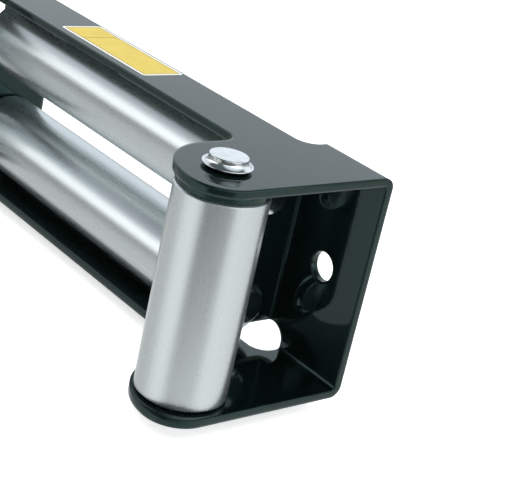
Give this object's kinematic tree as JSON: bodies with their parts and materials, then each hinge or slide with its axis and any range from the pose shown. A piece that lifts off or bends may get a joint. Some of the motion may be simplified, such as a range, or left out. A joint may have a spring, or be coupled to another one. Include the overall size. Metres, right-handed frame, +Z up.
{
  "type": "roller fairlead",
  "caption": "Four-way roller fairlead: a folded steel channel carries two long rollers across and two short upright rollers that guide a winch rope.",
  "frame": {"origin": "midway between the two mounting holes, on the back face that bolts down", "axes": "+X along the length, from hole to hole; +Y out of the back face, towards the winch, so the front with the upright rollers is at -Y; +Z up"},
  "size_m": [0.302, 0.091, 0.1114],
  "materials": {
    "frame_paint": "gloss",
    "roller_steel": "satin",
    "bush_plastic": "matte",
    "pin_plating": "gloss",
    "washer_steel": "satin",
    "clip_steel": "satin"
  },
  "bodies": {
    "base": {"frame": "frame_paint", "pin_upper": "pin_plating", "washer_upper": "washer_steel", "clip_upper": "clip_steel", "pin_lower": "pin_plating", "washer_lower": "washer_steel", "clip_lower": "clip_steel", "pin_left": "pin_plating", "washer_left": "washer_steel", "clip_left": "clip_steel", "pin_right": "pin_plating", "washer_right": "washer_steel", "clip_right": "clip_steel"},
    "roller_upper_set": {"roller_upper": "roller_steel", "bush_upper_head_end": "bush_plastic", "bush_upper_clip_end": "bush_plastic"},
    "roller_lower_set": {"roller_lower": "roller_steel", "bush_lower_head_end": "bush_plastic", "bush_lower_clip_end": "bush_plastic"},
    "roller_left_set": {"roller_left": "roller_steel", "bush_left_head_end": "bush_plastic", "bush_left_clip_end": "bush_plastic", "spacer_left": "bush_plastic"},
    "roller_right_set": {"roller_right": "roller_steel", "bush_right_head_end": "bush_plastic", "bush_right_clip_end": "bush_plastic", "spacer_right": "bush_plastic"}
  },
  "joints": [
    {"name": "roller_upper_spin", "type": "hinge", "parent": "base", "child": "roller_upper_set", "pos_m": [0, -0.023, 0.0254], "axis": [1, 0, 0], "continuous": true},
    {"name": "roller_lower_spin", "type": "hinge", "parent": "base", "child": "roller_lower_set", "pos_m": [0, -0.023, -0.0254], "axis": [1, 0, 0], "continuous": true},
    {"name": "roller_left_spin", "type": "hinge", "parent": "base", "child": "roller_left_set", "pos_m": [-0.129, -0.069, 0], "axis": [0, 0, 1], "continuous": true},
    {"name": "roller_right_spin", "type": "hinge", "parent": "base", "child": "roller_right_set", "pos_m": [0.129, -0.069, 0], "axis": [0, 0, 1], "continuous": true}
  ]
}
